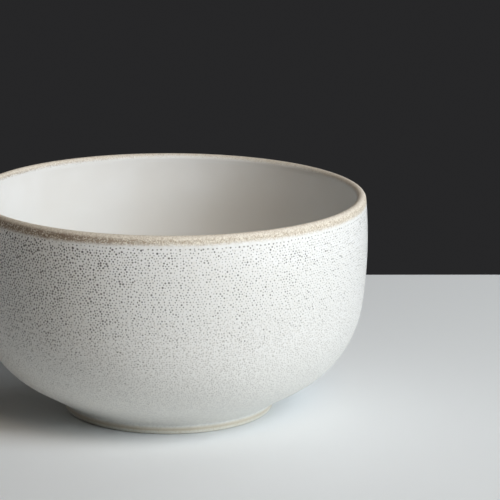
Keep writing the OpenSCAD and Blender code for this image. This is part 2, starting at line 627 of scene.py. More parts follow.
class ScatteredSpecks(GeometryTree):
    """Sets small flat lenses of iron in a glaze, close and large near the lip, few and small below."""

    # One lens of unit size: its sides, how far it is sunk, and how far chance turns and stretches it
    LENS_SIDES = 6
    SINK = 0.15
    SPIN = 6.28
    STRETCH = (0.85, 1.2)

    # How many points are tried on each square of the spacing, and the share of them that stays low down
    TRIES = 8.0
    FEW_SHARE = 0.02

    # Sizes: from left to right, larger on the shaded left and smaller on the lit right as painted shade and
    # glare, how far chance adds to them, and how rarely it adds much
    SHADE_AND_GLARE_SIZES: Ramp = (-55 * MM, 15 * MM, 1.12, 0.63)
    SIZE_SPREAD = 0.75
    SIZE_POWER = 3.0

    # The row: its least and greatest size, and how far it rises and falls for its jitter
    ROW_SIZES = (0.55, 1.1)
    ROW_RISE = 0.8

    # Paleness: from left to right, darker on the left as painted shade away from the window lamp, low down,
    # and by chance
    SHADE_AND_GLARE_PALENESS: Ramp = (-45 * MM, 60 * MM, -0.25, 0.0)
    PALE_LOW = 0.85
    PALE_CHANCE = 0.4

    # Tones, each with a tile of the bake map; the margin keeps the palest speck in the last tone
    TILES = 4
    TONES = TILES**2
    TONE_MARGIN = 0.01
    TILE_FILL = 0.42

    def __init__(self) -> None:
        """Names the tree's inputs."""
        sizes = ("Spacing", "Size", "Low Size", "Height")
        levels = ("Top", "Few Below", "Dense From", "Strong From")
        row = ("Row Height", "Row Radius", "Row Jitter", "Row Size")
        super().__init__("Scattered specks", {"Float": sizes + levels + row, "Int": ("Row Count", "Seed")})

    def chance(self, low: float, high: float, draw: Draw) -> Socket:
        """Random number for each point.

        Args:
            low: Least value.
            high: Greatest value.
            draw: What the number is for, so that each use has its own numbers.

        Returns:
            The random value.
        """
        seed = self.nodes.math("ADD", self.given["Seed"], draw.value)
        node = self.nodes.add("FunctionNodeRandomValue", {2: low, 3: high, 8: seed}, data_type="FLOAT")
        return node.outputs[1]

    def build(self) -> None:
        """Joins the scattered points and the row under the lip, and sets a lens on each."""
        n, given = self.nodes, self.given
        points = n.add("GeometryNodeJoinGeometry")
        for some in (self.scattered(), self.row()):
            n.feed(points.inputs[0], some)
        inputs = {0: given[0], "Value": n.add("GeometryNodeInputNormal")}
        facing = n.add("GeometryNodeSampleNearestSurface", inputs, data_type="FLOAT_VECTOR")
        stand = n.add("FunctionNodeAlignRotationToVector", {"Vector": facing}, axis="Z")
        inputs = {"Axis": (0, 0, 1), "Angle": self.chance(0, self.SPIN, Draw.SPIN)}
        spin = n.add("FunctionNodeAxisAngleToRotation", inputs)
        turned = n.add("FunctionNodeRotateRotation", {0: stand, 1: spin}, rotation_space="LOCAL")
        size = n.read(SIZE)
        wide = n.math("MULTIPLY", size, self.chance(*self.STRETCH, Draw.WIDTH))
        deep = n.math("MULTIPLY", size, self.chance(*self.STRETCH, Draw.DEPTH))
        scale = n.vector(wide, deep, given["Height"])
        inputs = {"Points": points, "Instance": self.lens(), "Rotation": turned, "Scale": scale}
        lenses = n.add("GeometryNodeInstanceOnPoints", inputs)
        toned = n.store(lenses, TONE, self.tone(), "FLOAT", "INSTANCE")
        self.end(self.mapped(n.add("GeometryNodeRealizeInstances", {0: toned})))

    def tone(self) -> Socket:
        """Tone of each speck in even steps, darker to the left as painted shade, and paler low down.

        Returns:
            The tone, from 0 for the darkest to 1 for the palest.
        """
        n, given = self.nodes, self.given
        across, _, height = n.parts(n.add("GeometryNodeInputPosition"))
        # Darker on the left: painted shade away from the window lamp
        side = n.ramp(across, *self.SHADE_AND_GLARE_PALENESS)
        low = n.ramp(height, given["Few Below"], given["Strong From"], self.PALE_LOW, 0.0)
        paleness = n.math("ADD", n.math("ADD", self.chance(0.0, self.PALE_CHANCE, Draw.TONE), side), low)
        paleness = n.add("ShaderNodeClamp", {0: paleness})
        level = n.math("FLOOR", n.math("MULTIPLY", paleness, self.TONES - self.TONE_MARGIN))
        return n.math("DIVIDE", level, self.TONES - 1)

    def scattered(self) -> Node:
        """Evenly spread points over the surface, thinned and shrunk towards the foot.

        Returns:
            The node that stores each point's size.
        """
        n, given = self.nodes, self.given
        across, _, height = n.parts(n.add("GeometryNodeInputPosition"))
        band = n.ramp(height, given["Few Below"], given["Dense From"], self.FEW_SHARE, 1.0)
        square = n.math("MULTIPLY", given["Spacing"], given["Spacing"])
        inputs = {
            "Mesh": given[0],
            "Distance Min": given["Spacing"],
            "Density Max": n.math("DIVIDE", self.TRIES, square),
            "Density Factor": n.math("MULTIPLY", band, n.math("LESS_THAN", height, given["Top"])),
            "Seed": given["Seed"],
        }
        points = n.add("GeometryNodeDistributePointsOnFaces", inputs, distribute_method="POISSON")
        spread = n.math("POWER", self.chance(0, 1, Draw.SIZE), self.SIZE_POWER)
        # Larger on the left and smaller on the lit right: painted shade and glare
        vary = n.math("MULTIPLY_ADD", spread, self.SIZE_SPREAD, n.ramp(across, *self.SHADE_AND_GLARE_SIZES))
        reach = n.ramp(height, given["Few Below"], given["Strong From"], given["Low Size"], given["Size"])
        return n.store(points, SIZE, n.math("MULTIPLY", reach, vary), "FLOAT")

    def row(self) -> Node:
        """Loose row of larger points where the full glaze starts under the lip.

        Returns:
            The node that stores each point's size.
        """
        n, given = self.nodes, self.given
        inputs = {"Vertices": given["Row Count"], "Radius": given["Row Radius"]}
        points = n.add("GeometryNodeMeshToPoints", {0: n.add("GeometryNodeMeshCircle", inputs)})
        jitter, rise = given["Row Jitter"], self.ROW_RISE
        shift = n.vector(
            n.math("MULTIPLY", self.chance(-1, 1, Draw.ROW_X), jitter),
            n.math("MULTIPLY", self.chance(-1, 1, Draw.ROW_Y), jitter),
            n.math("MULTIPLY_ADD", self.chance(-rise, rise, Draw.ROW_Z), jitter, given["Row Height"]),
        )
        moved = n.add("GeometryNodeSetPosition", {"Geometry": points, "Offset": shift})
        nearest = n.add("GeometryNodeProximity", {0: given[0]}, target_element="FACES")
        inputs = {"Geometry": moved, "Position": nearest.outputs["Position"]}
        seated = n.add("GeometryNodeSetPosition", inputs)
        size = n.math("MULTIPLY", given["Row Size"], self.chance(*self.ROW_SIZES, Draw.ROW_SIZE))
        return n.store(seated, SIZE, size, "FLOAT")

    def lens(self) -> Node:
        """Low cone of unit radius, sunk a little, that keeps each point's place on its face.

        Returns:
            The node that stores the places.
        """
        n = self.nodes
        inputs = {"Vertices": self.LENS_SIDES, "Radius Top": 0.0, "Radius Bottom": 1.0, "Depth": 1.0}
        cone = n.add("GeometryNodeMeshCone", inputs, fill_type="NGON").outputs["Mesh"]
        sunk = n.add("GeometryNodeSetPosition", {"Geometry": cone, "Offset": (0, 0, -self.SINK)})
        across, deep, _ = n.parts(n.add("GeometryNodeInputPosition"))
        return n.store(sunk, SPECK, n.vector(across, deep), "FLOAT_VECTOR")

    def in_tile(self, tile: Any, spot: Any) -> Socket:
        """Place in the bake map of a spot from -1 to 1 in a tile, along one side of the map."""
        inside = self.nodes.math("MULTIPLY_ADD", spot, self.TILE_FILL, 0.5)
        return self.nodes.math("DIVIDE", self.nodes.math("ADD", tile, inside), self.TILES)

    def mapped(self, geometry: Any) -> Node:
        """Adds each speck's tone to its mark, and gives each tone one tile of the bake map.

        Args:
            geometry: The realized lenses.

        Returns:
            The node that stores the map.
        """
        n, tone = self.nodes, self.nodes.read(TONE)
        across, deep, _ = n.parts(n.read(SPECK, "FLOAT_VECTOR"))
        marked = n.store(geometry, SPECK, n.vector(across, deep, tone), "FLOAT_VECTOR")
        level = n.math("ROUND", n.math("MULTIPLY", tone, self.TONES - 1))
        column = n.math("MODULO", level, self.TILES)
        line = n.math("FLOOR", n.math("DIVIDE", n.math("ADD", level, 0.5), self.TILES))
        spread = n.vector(self.in_tile(column, across), self.in_tile(line, deep))
        return n.store(marked, BAKE_MAP, spread, "FLOAT2", "CORNER")


class ShaderGroup:
    """A shader node group with named inputs and outputs, for an effect that several finishes share."""

    def __init__(self, name: str, inputs: tuple[str, ...], outputs: tuple[str, ...]) -> None:
        """Makes the group and its sockets, which are all values.

        Args:
            name: Name of the group.
            inputs: Names of the inputs.
            outputs: Names of the outputs.
        """
        self.tree = bpy.data.node_groups.new(name, "ShaderNodeTree")
        self.nodes = Nodes(self.tree)
        for side, labels in (("INPUT", inputs), ("OUTPUT", outputs)):
            for label in labels:
                self.tree.interface.new_socket(label, in_out=side, socket_type="NodeSocketFloat")
        self.given = self.nodes.add("NodeGroupInput").outputs
        self.result = self.nodes.add("NodeGroupOutput").inputs
        self.place = self.nodes.add("ShaderNodeTexCoord").outputs["Object"]
        self.build()

    def build(self) -> None:
        """Adds the nodes, which each group does in its own way."""
        raise NotImplementedError

    def noise(self, scale: Any, detail: float = 2.0, rough: float = 0.5) -> Socket:
        """Noise over the object's own space."""
        inputs = {"Vector": self.place, "Scale": scale, "Detail": detail, "Roughness": rough}
        return self.nodes.add("ShaderNodeTexNoise", inputs).outputs[0]

    def use(self, nodes: Nodes, **values: Any) -> Node:
        """Places the group in a material.

        Args:
            nodes: Nodes of the material.
            values: Value of each input, with _ for a space in its name.

        Returns:
            The group's node.
        """
        inputs = {label.replace("_", " "): value for label, value in values.items()}
        return nodes.add("ShaderNodeGroup", inputs, node_tree=self.tree)


class GlazeSurface(ShaderGroup):
    """Slow clouding and fine peel of a fired surface."""

    CLOUD_DETAIL = 3.0
    CLOUD_RANGE = (0.3, 0.7)

    def __init__(self) -> None:
        """Names the group's sockets."""
        super().__init__("Glaze surface", ("Cloud Scale", "Peel Scale"), ("Cloud", "Peel"))

    def build(self) -> None:
        """Adds the clouding and the peel."""
        cloud = self.noise(self.given["Cloud Scale"], self.CLOUD_DETAIL)
        self.nodes.feed(self.result["Cloud"], self.nodes.ramp(cloud, *self.CLOUD_RANGE))
        self.nodes.feed(self.result["Peel"], self.noise(self.given["Peel Scale"]))


class SandyBreak(ShaderGroup):
    """Where the glaze thins over the lip and sandy clay shows through it; its darker left side is partly
    painted shade and its paler top partly painted light.
    """

    SLOW_SCALE = 40.0
    SLOW_DETAIL = 1.0
    RAGGED_SCALE = 1500.0
    RAGGED_DETAIL = 3.0
    RAGGED_ROUGHNESS = 0.65

    # The darker side from left to right, and how far its edge wanders: partly a darker, thinner glaze and
    # partly painted shade on the left, away from the window lamp
    DARK_AND_SHADED_SIDES: Ramp = (-42 * MM, 4 * MM, 1.0, 0.0)
    DARK_WANDER = 20 * MM

    # How far the lower edge wanders, and how much lower it lies on the darker side, which widens the
    # painted shade there
    RAGGED_WANDER = 2.0 * MM
    SLOW_WANDER = 0.8 * MM
    DARK_DROP = 0.7 * MM

    # Half the width over which the inside edge passes into the outside one, and the height of the paler
    # top, partly a smoother glaze and partly painted light on the lip's upward face
    LIP_HALF = 0.5 * MM
    TOP_RISE = 1.3 * MM

    # Shares of the cells and of soft noise in the grain, and the scale of the soft noise
    CELL_SHARE = 0.6
    SOFT_SHARE = 0.4
    SOFT_SCALE = 0.7

    def __init__(self) -> None:
        """Names the group's sockets."""
        edges = ("Outside Edge", "Inside Edge", "Edge Blur", "Lip Radius")
        others = ("Top Height", "Grain Scale")
        super().__init__("Sandy break", edges + others, ("Mask", "Grain", "Top", "Dark And Shaded Side"))

    def build(self) -> None:
        """Adds the ragged edge, the grains, the paler top, partly painted light, and the darker side,
        partly painted shade.
        """
        n, given = self.nodes, self.given
        across, deep, height = n.parts(self.place)
        slow = n.math("SUBTRACT", self.noise(self.SLOW_SCALE, self.SLOW_DETAIL), 0.5)
        # Darker towards -X: partly a darker glaze and partly painted shade on the side away from the window
        # lamp
        dark_and_shaded_side = n.ramp(n.math("MULTIPLY_ADD", slow, self.DARK_WANDER, across), *self.DARK_AND_SHADED_SIDES)
        ragged = self.noise(self.RAGGED_SCALE, self.RAGGED_DETAIL, self.RAGGED_ROUGHNESS)
        ragged = n.math("SUBTRACT", ragged, 0.5)
        wander = n.math("MULTIPLY", slow, self.SLOW_WANDER)
        wander = n.math("MULTIPLY_ADD", ragged, self.RAGGED_WANDER, wander)
        wander = n.math("MULTIPLY_ADD", dark_and_shaded_side, self.DARK_DROP, wander)
        start = n.math("SUBTRACT", given["Lip Radius"], self.LIP_HALF)
        end = n.math("ADD", given["Lip Radius"], self.LIP_HALF)
        edge = n.ramp(n.length(across, deep), start, end, given["Inside Edge"], given["Outside Edge"])
        drop = n.math("SUBTRACT", n.math("ADD", height, wander), edge)
        blur = given["Edge Blur"]
        inputs = {"Vector": self.place, "Scale": given["Grain Scale"], "Randomness": 1.0}
        cells = n.add("ShaderNodeTexVoronoi", inputs, feature="F1")
        shade = n.parts(cells.outputs["Color"])[0]
        soft = self.noise(n.math("MULTIPLY", given["Grain Scale"], self.SOFT_SCALE))
        soft = n.math("MULTIPLY", soft, self.SOFT_SHARE)
        top = given["Top Height"]
        n.feed(self.result["Mask"], n.ramp(drop, n.math("MULTIPLY", blur, -1.0), blur))
        n.feed(self.result["Grain"], n.math("MULTIPLY_ADD", shade, self.CELL_SHARE, soft))
        # Paler top, partly painted light on the upward face of the lip
        n.feed(self.result["Top"], n.ramp(height, top, n.math("ADD", top, self.TOP_RISE)))
        n.feed(self.result["Dark And Shaded Side"], dark_and_shaded_side)


class FaintDots(ShaderGroup):
    """Fine faint dots that go on below the specks and fade towards the foot."""

    # Height that a step outwards counts as, so that dots stay round where the wall slopes
    OUT_AS_HEIGHT = 0.6
    RANDOMNESS = 0.8
    DOT_EDGE: Ramp = (0.08, 0.36, 1.0, 0.0)
    LEAST_STRENGTH = 0.3

    def __init__(self) -> None:
        """Names the group's sockets."""
        levels = ("None Below", "Full From", "Full To", "None Above")
        super().__init__("Faint dots", ("Dot Scale", "Wall Radius") + levels, ("Dots",))

    def build(self) -> None:
        """Adds round dots on the unrolled wall, whose strength differs from one to the next."""
        n, given = self.nodes, self.given
        across, deep, height = n.parts(self.place)
        turn = n.math("ARCTAN2", across, n.math("MULTIPLY", deep, -1.0))
        down = n.math("MULTIPLY_ADD", n.length(across, deep), self.OUT_AS_HEIGHT, height)
        unrolled = n.vector(n.math("MULTIPLY", turn, given["Wall Radius"]), down)
        inputs = {"Vector": unrolled, "Scale": given["Dot Scale"], "Randomness": self.RANDOMNESS}
        cells = n.add("ShaderNodeTexVoronoi", inputs, feature="F1", voronoi_dimensions="2D")
        dot = n.ramp(cells.outputs["Distance"], *self.DOT_EDGE)
        shade = n.parts(cells.outputs["Color"])[1]
        strength = n.math("MULTIPLY_ADD", shade, 1 - self.LEAST_STRENGTH, self.LEAST_STRENGTH)
        below = n.ramp(height, given["None Below"], given["Full From"])
        above = n.ramp(height, given["Full To"], given["None Above"], 1.0, 0.0)
        reach = n.math("MULTIPLY", below, above)
        n.feed(self.result["Dots"], n.math("MULTIPLY", n.math("MULTIPLY", dot, strength), reach))


@dataclass(frozen=True)
class Effects:
    """The shader groups that the finishes share."""

    surface: GlazeSurface
    sandy: SandyBreak
    dots: FaintDots


@dataclass(frozen=True)
class SandyTones:
    """Colours of the sandy clay that shows where the glaze is thin, with partly painted shade on its left
    side and partly painted light on its top.
    """

    body: Colour = (0.60, 0.542, 0.45, 1)
    # Paler top: partly a smoother, paler glaze and partly painted light on the lip's upward face
    top: Colour = (0.70, 0.64, 0.55, 1)
    # Partly the clay's darker colour and partly painted shade on the left, away from the window lamp
    dark_and_shaded_side: Colour = (0.235, 0.172, 0.124, 1)
    dark_grain: Colour = (0.36, 0.27, 0.18, 1)
    pale_grain: Colour = (0.86, 0.81, 0.70, 1)
    dark_grains: Ramp = (0.26, 0.46, 0.7, 0.0)
    pale_grains: Ramp = (0.56, 0.74, 0.0, 0.75)
    top_calm: float = 0.45
    outside_z: float = 79.9 * MM
    inside_z: float = 82.2 * MM
    edge_blur: float = 0.8 * MM
    lip_r: float = 72.0 * MM
    top_z: float = 81.2 * MM
    grain_scale: float = 2800.0

    def over(self, nodes: Nodes, effects: Effects, colour: Any) -> tuple[Socket, Node]:
        """Lays the sandy colours over a glaze colour.

        Args:
            nodes: Nodes of the material.
            effects: The shared shader groups.
            colour: Colour of the glaze below.

        Returns:
            The joined colour and the group's node, for its masks.
        """
        sandy = effects.sandy.use(
            nodes,
            Outside_Edge=self.outside_z,
            Inside_Edge=self.inside_z,
            Edge_Blur=self.edge_blur,
            Lip_Radius=self.lip_r,
            Top_Height=self.top_z,
            Grain_Scale=self.grain_scale,
        )
        mask, grain, top, dark_and_shaded_side = sandy.outputs
        # The left of the band darkens with painted shade and its top pales with painted light, each partly
        # the clay's own colour
        tan = nodes.blend(top, nodes.blend(dark_and_shaded_side, self.body, self.dark_and_shaded_side), self.top)
        granular = nodes.math("SUBTRACT", 1.0, nodes.math("MULTIPLY", top, self.top_calm))
        for ramp, tint in ((self.dark_grains, self.dark_grain), (self.pale_grains, self.pale_grain)):
            share = nodes.math("MULTIPLY", nodes.ramp(grain, *ramp), granular)
            tan = nodes.blend(share, tan, tint)
        return nodes.blend(mask, colour, tan), sandy


@dataclass(frozen=True)
class Finish:
    """A finish whose roughness goes up from its least with the grain of the surface."""

    least_roughness: float = 0.3
    roughness_rise: float = 0.1

    def shader(self, name: str) -> tuple[Material, Nodes, Node]:
        """Starts a material with one shader.

        Args:
            name: Name of the material.

        Returns:
            The material, its nodes and the shader.
        """
        material = bpy.data.materials.new(name)
        nodes = blank(material)
        shader = nodes.add("ShaderNodeBsdfPrincipled")
        nodes.add("ShaderNodeOutputMaterial", {"Surface": shader})
        return material, nodes, shader

    def texture(self, nodes: Nodes, shader: Node, grain: Any, height: float, more: Any = 0.0) -> None:
        """Makes the surface rougher and higher with its grain.

        Args:
            nodes: Nodes of the material.
            shader: The material's shader.
            grain: The grain, from 0 to 1.
            height: Real height of a grain of 1, in metres.
            more: Roughness on top of the grain's.
        """
        rough = nodes.math("MULTIPLY_ADD", grain, self.roughness_rise, self.least_roughness)
        nodes.feed(shader.inputs["Roughness"], nodes.math("ADD", more, rough))
        inputs = {"Height": grain, "Distance": height, "Strength": 1.0}
        nodes.feed(shader.inputs["Normal"], nodes.add("ShaderNodeBump", inputs))


@dataclass(frozen=True)
class SpeckledGlaze(Finish):
    """Satin white glaze of the outside, cooler above and creamier and paler below, the paleness being
    painted light on the lower wall; amber where it ends, fading upwards as painted shade over the rolled
    edge and pooled corner.
    """

    top: Colour = (0.81, 0.812, 0.805, 1)
    upper: Colour = (0.77, 0.772, 0.757, 1)
    # Lower: a creamier glaze, paler than the upper one as painted light on the lower wall
    lower: Colour = (0.855, 0.85, 0.805, 1)
    cloud: Colour = (0.735, 0.73, 0.70, 1)
    faint_dot: Colour = (0.28, 0.26, 0.235, 1)
    # Amber where the glaze ends, fading upwards as painted shade over the rolled edge and pooled corner
    amber: Colour = (0.60, 0.50, 0.34, 1)
    top_full_z: float = 74 * MM
    top_from_z: float = 64 * MM
    cream_lit_from_z: float = 44 * MM
    cream_lit_below_z: float = 16 * MM
    amber_z: float = 2.1 * MM
    amber_shade_fade: float = 1.3 * MM
    amber_share: float = 0.6
    cloud_scale: float = 38.0
    cloud_share: float = 0.3
    peel_scale: float = 950.0
    peel_height: float = 0.004 * MM
    peel_mottle: Ramp = (0.4, 0.65, 0.0, 0.7)
    dot_scale: float = 1060.0
    dot_share: float = 0.9
    wall_r: float = 75 * MM
    no_dots_below_z: float = 2 * MM
    dots_from_z: float = 28 * MM
    dots_to_z: float = 36 * MM
    no_dots_above_z: float = 68 * MM
    least_roughness: float = 0.36
    roughness_rise: float = 0.12
    sandy_roughness: float = 0.2

    def material(self, effects: Effects, tones: SandyTones) -> Material:
        """Makes the material.

        Args:
            effects: The shared shader groups.
            tones: Colours where the glaze thins over the lip.

        Returns:
            The material.
        """
        material, nodes, shader = self.shader("Speckled glaze")
        height = nodes.height()
        surface = effects.surface.use(nodes, Cloud_Scale=self.cloud_scale, Peel_Scale=self.peel_scale)
        cloud, peel = surface.outputs
        # Creamier and paler towards the foot: the cream is the glaze's own, the paleness is painted light
        cream_and_light_fade = nodes.ramp(height, self.cream_lit_below_z, self.cream_lit_from_z)
        colour = nodes.blend(cream_and_light_fade, self.lower, self.upper)
        colour = nodes.blend(nodes.ramp(height, self.top_from_z, self.top_full_z), colour, self.top)
        mottle = nodes.ramp(peel, *self.peel_mottle)
        mottle = nodes.math("MULTIPLY_ADD", cloud, self.cloud_share, mottle)
        colour = nodes.blend(mottle, colour, self.cloud)
        dots = effects.dots.use(
            nodes,
            Dot_Scale=self.dot_scale,
            Wall_Radius=self.wall_r,
            None_Below=self.no_dots_below_z,
            Full_From=self.dots_from_z,
            Full_To=self.dots_to_z,
            None_Above=self.no_dots_above_z,
        )
        colour = nodes.blend(nodes.math("MULTIPLY", dots, self.dot_share), colour, self.faint_dot)
        colour, sandy = tones.over(nodes, effects, colour)
        # Amber at the glaze's end; its fade upwards is painted shade on the rolled edge and pooled corner
        line = nodes.ramp(height, self.amber_z, self.amber_z + self.amber_shade_fade, self.amber_share, 0.0)
        nodes.feed(shader.inputs["Base Color"], nodes.blend(line, colour, self.amber))
        more = nodes.math("MULTIPLY", sandy.outputs["Mask"], self.sandy_roughness)
        self.texture(nodes, shader, peel, self.peel_height, more)
        return material


@dataclass(frozen=True)
class LinerGlaze(Finish):
    """Smooth satin glaze of the inside, paler near the rim and darker deeper down as painted light and
    shade.
    """

    # Top and body: paler near the rim and darker below, painted light and shade for the light that falls
    # off down the inside
    top: Colour = (0.83, 0.83, 0.82, 1)
    body: Colour = (0.735, 0.735, 0.72, 1)
    cloud: Colour = (0.71, 0.69, 0.65, 1)
    top_full_z: float = 79 * MM
    top_from_z: float = 58 * MM
    cloud_scale: float = 30.0
    cloud_share: float = 0.5
    peel_scale: float = 700.0
    peel_height: float = 0.003 * MM
    least_roughness: float = 0.31
    roughness_rise: float = 0.1
    sandy_roughness: float = 0.25

    def material(self, effects: Effects, tones: SandyTones) -> Material:
        """Makes the material.

        Args:
            effects: The shared shader groups.
            tones: Colours where the glaze thins over the lip.

        Returns:
            The material.
        """
        material, nodes, shader = self.shader("Liner glaze")
        surface = effects.surface.use(nodes, Cloud_Scale=self.cloud_scale, Peel_Scale=self.peel_scale)
        cloud, peel = surface.outputs
        # Painted shade: darker deeper in the bowl, paler towards the rim
        rise = nodes.ramp(nodes.height(), self.top_from_z, self.top_full_z)
        colour = nodes.blend(rise, self.body, self.top)
        colour = nodes.blend(nodes.math("MULTIPLY", cloud, self.cloud_share), colour, self.cloud)
        colour, sandy = tones.over(nodes, effects, colour)
        nodes.feed(shader.inputs["Base Color"], colour)
        more = nodes.math("MULTIPLY", sandy.outputs["Mask"], self.sandy_roughness)
        self.texture(nodes, shader, peel, self.peel_height, more)
        return material


@dataclass(frozen=True)
class SandyGlaze(Finish):
    """Thin sandy coat over the lip, granular on its outside and smoother on its top."""

    white: Colour = (0.80, 0.80, 0.785, 1)
    grain_height: float = 0.02 * MM
    least_roughness: float = 0.52
    roughness_rise: float = 0.15

    def material(self, effects: Effects, tones: SandyTones) -> Material:
        """Makes the material.

        Args:
            effects: The shared shader groups.
            tones: Colours of the sandy clay.

        Returns:
            The material.
        """
        material, nodes, shader = self.shader("Sandy glaze")
        colour, sandy = tones.over(nodes, effects, self.white)
        nodes.feed(shader.inputs["Base Color"], colour)
        self.texture(nodes, shader, sandy.outputs["Grain"], self.grain_height)
        return material


@dataclass(frozen=True)
class BareClay(Finish):
    """Fired clay of the foot, cream with fine darker grains, and a darker band under the glaze edge that is
    partly toasted clay and partly painted shade.
    """

    body: Colour = (0.78, 0.76, 0.68, 1)
    grain: Colour = (0.55, 0.49, 0.38, 1)
    # Darker band at the top of the bare foot: partly toasted clay, partly painted shade under the belly
    toasted_and_shaded: Colour = (0.60, 0.52, 0.38, 1)
    toast_z: float = 2.0 * MM
    toast_depth: float = 1.1 * MM
    toast_share: float = 0.8
    cloud_scale: float = 90.0
    cloud_share: float = 0.25
    grain_scale: float = 2200.0
    grain_height: float = 0.025 * MM
    grains: Ramp = (0.52, 0.68, 0.0, 0.7)
    least_roughness: float = 0.72
    roughness_rise: float = 0.15

    def material(self, effects: Effects) -> Material:
        """Makes the material.

        Args:
            effects: The shared shader groups.

        Returns:
            The material.
        """
        material, nodes, shader = self.shader("Bare clay")
        surface = effects.surface.use(nodes, Cloud_Scale=self.cloud_scale, Peel_Scale=self.grain_scale)
        cloud, peel = surface.outputs
        colour = nodes.blend(nodes.math("MULTIPLY", cloud, self.cloud_share), self.body, self.grain)
        colour = nodes.blend(nodes.ramp(peel, *self.grains), colour, self.grain)
        # Darker towards the glaze edge, partly painted shade
        low = self.toast_z - self.toast_depth
        toast_and_shade = nodes.ramp(nodes.height(), low, self.toast_z, 0.0, self.toast_share)
        nodes.feed(shader.inputs["Base Color"], nodes.blend(toast_and_shade, colour, self.toasted_and_shaded))
        self.texture(nodes, shader, peel, self.grain_height)
        return material


@dataclass(frozen=True)
class IronSpeck(Finish):
    """Iron melted into the glaze: dark in the middle of each speck, brown to grey at its edge."""

    core: Colour = (0.02, 0.018, 0.017, 1)
    pale_core: Colour = (0.60, 0.585, 0.55, 1)
    edge: Colour = (0.27, 0.255, 0.235, 1)
    pale_edge: Colour = (0.72, 0.71, 0.68, 1)
    edge_from: float = 0.65
    edge_to: float = 1.05

    def material(self) -> Material:
        """Makes the material, which reads each speck's tone and the place on its face.

        Returns:
            The material.
        """
        material, nodes, shader = self.shader("Iron speck")
        mark = nodes.add("ShaderNodeAttribute", attribute_name=SPECK).outputs["Vector"]
        across, deep, tone = nodes.parts(mark)
        out = nodes.length(across, deep)
        middle = nodes.blend(tone, self.core, self.pale_core)
        around = nodes.blend(tone, self.edge, self.pale_edge)
        soft = nodes.ramp(out, self.edge_from, self.edge_to)
        nodes.feed(shader.inputs["Base Color"], nodes.blend(soft, middle, around))
        most = self.least_roughness + self.roughness_rise
        nodes.feed(shader.inputs["Roughness"], nodes.ramp(out, 0.0, 1.0, self.least_roughness, most))
        return material


@dataclass
class TurnedPiece:
    """One turned piece of the bowl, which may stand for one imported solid."""

    name: str
    node: str | None
    slot: Slot
    outline: Outline
    finish: Material
    segments: int = 240
    strips: int = 2
    waver: float = 0.0006
    sharp_angle: float = math.radians(38)

    def turn(self, shell: TurnedShell) -> Thing:
        """Turns the outline into a mesh.

        Args:
            shell: The tree that turns it.

        Returns:
            The new object.
        """
        thing = place(self.name, self.outline.mesh(self.name))
        values = {
            "Section Points": len(self.outline.points),
            "Segments": self.segments,
            "Bake Strips": self.strips,
            "Waver": self.waver,
            "Sharp Angle": self.sharp_angle,
            "Finish": self.finish,
        }
        shell.apply(thing, values)
        return thing

    def build(self, shell: TurnedShell) -> None:
        """Makes the piece and ties it to the frame."""
        tie(self.turn(shell), self.slot, self.node)


def tie(piece: Thing, slot: Slot, node: str | None = None) -> None:
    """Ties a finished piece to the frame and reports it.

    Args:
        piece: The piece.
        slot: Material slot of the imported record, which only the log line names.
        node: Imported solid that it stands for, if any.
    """
    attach(piece, BODY)
    if node:
        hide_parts(node)
    LOG.info("%s: %d faces, slot %s", piece.name, len(piece.data.polygons), slot.value)


@dataclass
class ClayForm:
    """The fired clay: the wall and floor under the glaze, and the bare foot ring."""

    section: Section
    clay: Material
    clearance: float = 0.02 * MM
    wall_segments: int = 120
    foot_top_share: float = 0.2

    def build(self, shell: TurnedShell) -> None:
        """Makes both pieces of clay.

        Args:
            shell: The tree that turns them.
        """
        clay, segments = self.clay, self.wall_segments
        wall = TurnedPiece("clay_wall", "clay_body", Slot.CLAY, self.wall(), clay, segments=segments)
        foot = TurnedPiece("clay_foot", "foot_ring", Slot.CLAY, self.foot(), clay, strips=3, waver=0.0)
        wall.build(shell)
        foot.build(shell)

    def wall(self) -> Outline:
        """Outline of the clay inside the coats.

        Returns:
            The outline, from the axis below to the axis above.
        """
        s = self.section
        depth = s.glaze_t + self.clearance
        corner = Vector((s.foot_r - depth / math.sin(s.under_slope), s.foot_h))
        line = Outline().run([Vector((0, s.foot_h)), corner])
        for part in (s.outer_line, s.lip_line, s.inner_line):
            line.run(part(depth, COVERED))
        return line

    def foot(self) -> Outline:
        """Outline of the foot ring.

        Returns:
            The closed outline.
        """
        s = self.section
        quarter = math.pi / 2
        outer_r = s.foot_r - s.glaze_t
        low = s.foot_round
        inner = arc(Vector((s.foot_inner_r + low, low)), low, -2 * quarter, -quarter, SEEN.edge)
        outer = arc(Vector((outer_r - low, low)), low, -quarter, 0, SEEN.edge)
        side = [Vector((outer_r, s.bare_h))]
        top = [Vector((outer_r, s.foot_h)), Vector((s.foot_inner_r, s.foot_h))]
        return Outline().run(inner + outer + side).run(top, self.foot_top_share).closed()


